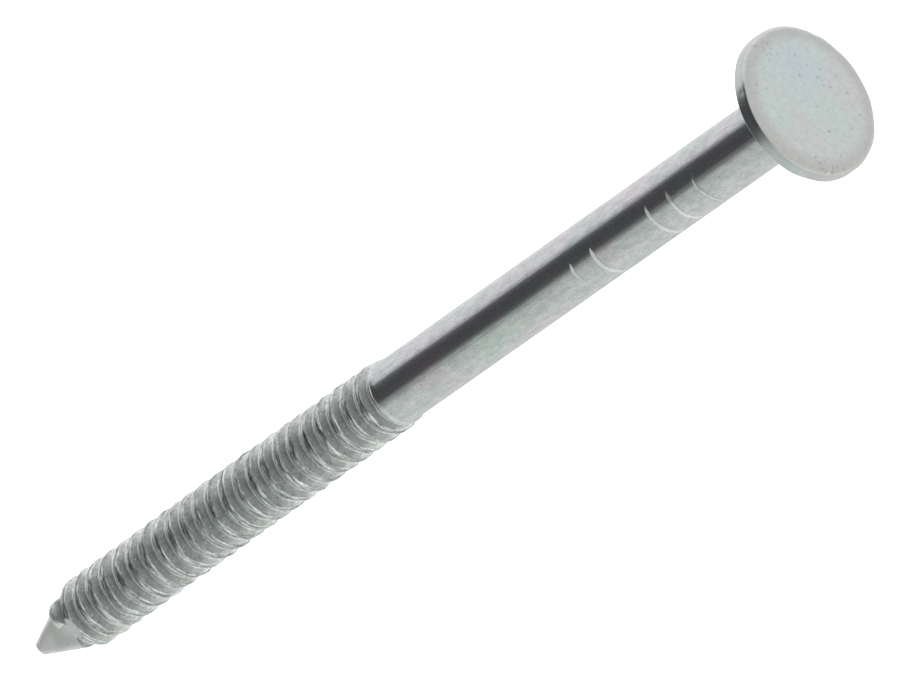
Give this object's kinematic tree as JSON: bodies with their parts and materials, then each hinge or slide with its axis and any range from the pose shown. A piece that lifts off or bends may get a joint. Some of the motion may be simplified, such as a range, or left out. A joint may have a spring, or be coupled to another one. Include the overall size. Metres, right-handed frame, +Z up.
{
  "type": "ring-shank nail",
  "caption": "Zinc-plated wire nail with a flat round head, a plain upper shank, an annular-ringed lower shank and a blunt faceted point.",
  "frame": {"origin": "centre of the head's underside, the plane that seats on the work", "axes": "+Z up along the nail, out through the head; the shank runs down -Z; -Y is the side that the picture shows"},
  "size_m": [0.0096, 0.0096, 0.076],
  "materials": {
    "plated_smooth": "bright zinc plating on drawn wire, satin, faint blue-green passivation tint",
    "plated_rolled": "zinc plating on rolled and pinched steel, duller and rougher in the grooves"
  },
  "bodies": {
    "root": {"head": "plated_smooth", "gripped_shank": "plated_smooth", "plain_shank": "plated_smooth", "ringed_shank": "plated_rolled", "point": "plated_rolled"}
  },
  "joints": []
}
